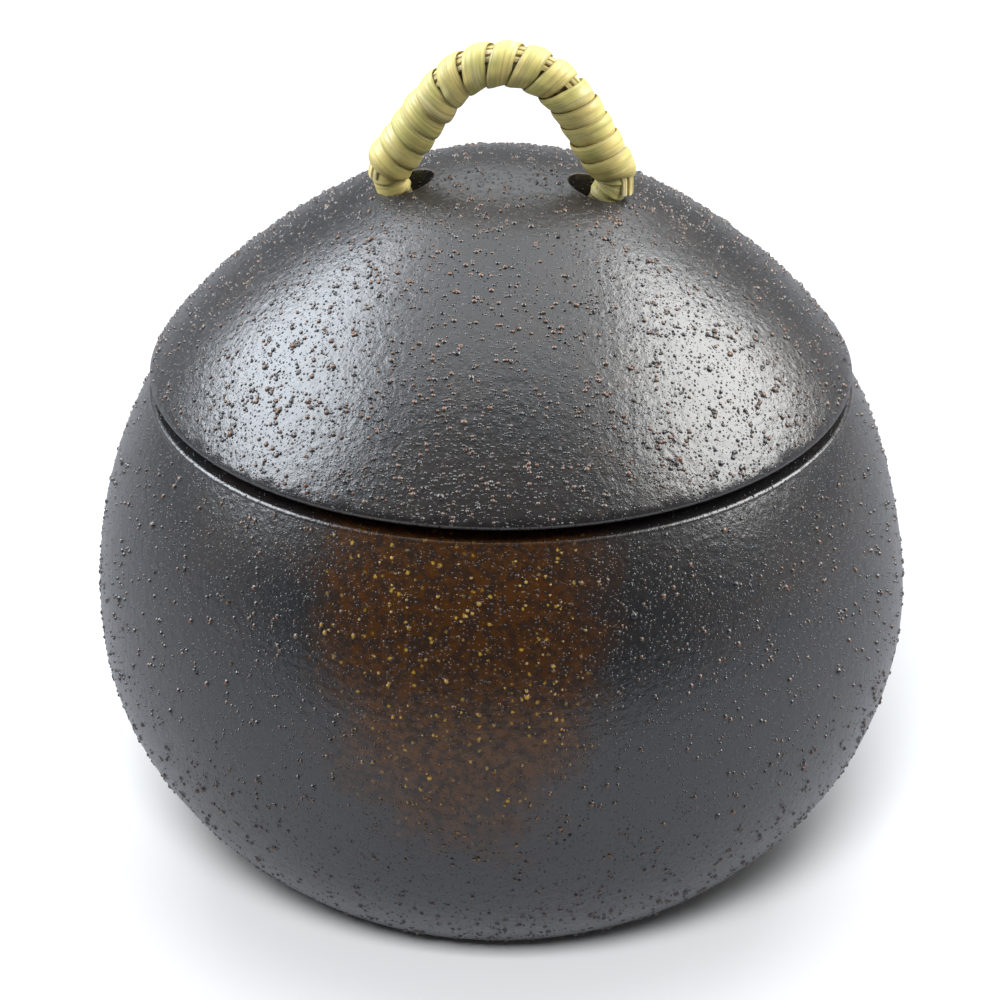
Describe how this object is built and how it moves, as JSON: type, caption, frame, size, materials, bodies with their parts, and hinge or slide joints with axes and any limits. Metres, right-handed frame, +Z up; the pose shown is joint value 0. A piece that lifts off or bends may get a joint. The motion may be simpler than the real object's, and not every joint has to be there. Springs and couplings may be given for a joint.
{
  "type": "tea caddy",
  "caption": "Globular stoneware tea caddy with a gallery rim, a domed drop-in lid and an arched handle of wrapped rattan looped through the lid.",
  "frame": {"origin": "centre of the foot, on the surface that the caddy stands on", "axes": "+Z up along the jar's axis, +X along the span of the handle, -Y towards the front with the rust-brown patch"},
  "size_m": [0.11, 0.11, 0.1191],
  "materials": {
    "jar_stoneware": "semi-gloss iron glaze over coarse grains, rust-brown on the front",
    "lid_stoneware": "semi-gloss iron glaze over coarse grains",
    "core_cane": "peeled rattan, satin",
    "lining_strand": "split rattan core, matte",
    "wrapping_strip": "rattan skin, soft gloss"
  },
  "bodies": {
    "jar": {"jar_body": "jar_stoneware"},
    "lid": {"lid": "lid_stoneware"},
    "handle": {"core_cane_front": "core_cane", "core_cane_back": "core_cane", "core_cane_inner": "core_cane", "lining_strand_1": "lining_strand", "lining_strand_2": "lining_strand", "lining_strand_3": "lining_strand", "lining_strand_4": "lining_strand", "lining_strand_5": "lining_strand", "handle_wrap": "wrapping_strip", "cane_binding": "wrapping_strip"}
  },
  "joints": [
    {"name": "lid_lift", "type": "slide", "parent": "jar", "child": "lid", "axis": [0, 0, 1], "range_m": [0, 0.06]},
    {"name": "handle_rock", "type": "hinge", "parent": "lid", "child": "handle", "pos_m": [0, 0, 0.0967], "axis": [1, 0, 0], "range_deg": [-5, 5]}
  ]
}
